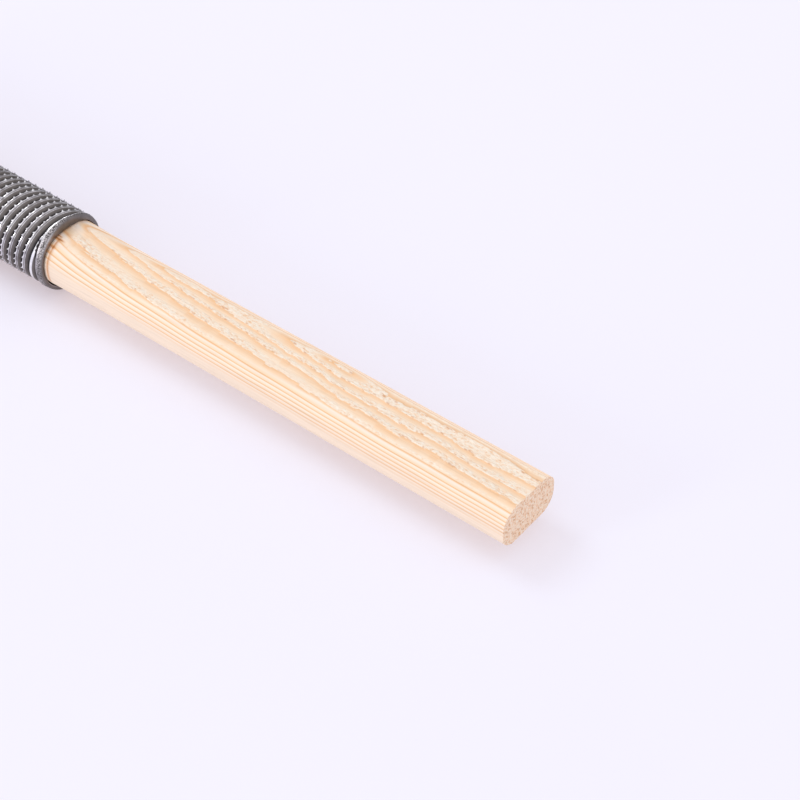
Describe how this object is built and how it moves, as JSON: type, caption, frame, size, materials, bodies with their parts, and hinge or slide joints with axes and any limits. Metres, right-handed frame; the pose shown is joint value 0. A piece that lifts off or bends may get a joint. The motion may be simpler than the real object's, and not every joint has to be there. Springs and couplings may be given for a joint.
{
  "type": "round rasp",
  "caption": "Hand rasp with a round steel barrel, helically ribbed and toothed, on a pine stick that is flattened outside the barrel to make the handle.",
  "frame": {"origin": "middle of the tool's axis, halfway between the barrel's toe and the handle's butt", "axes": "+X along the tool from the barrel's toe to the handle's butt, +Z the outward normal of the handle's upper flat, +Y across the flats"},
  "size_m": [0.3174, 0.025, 0.0248],
  "materials": {
    "steel": "dark warm-grey bare steel, oiled, bright on the worn rib edges",
    "pine": "bare sawn and sanded pine, no varnish"
  },
  "bodies": {
    "root": {"rasp_barrel": "steel", "handle": "pine"}
  },
  "joints": []
}
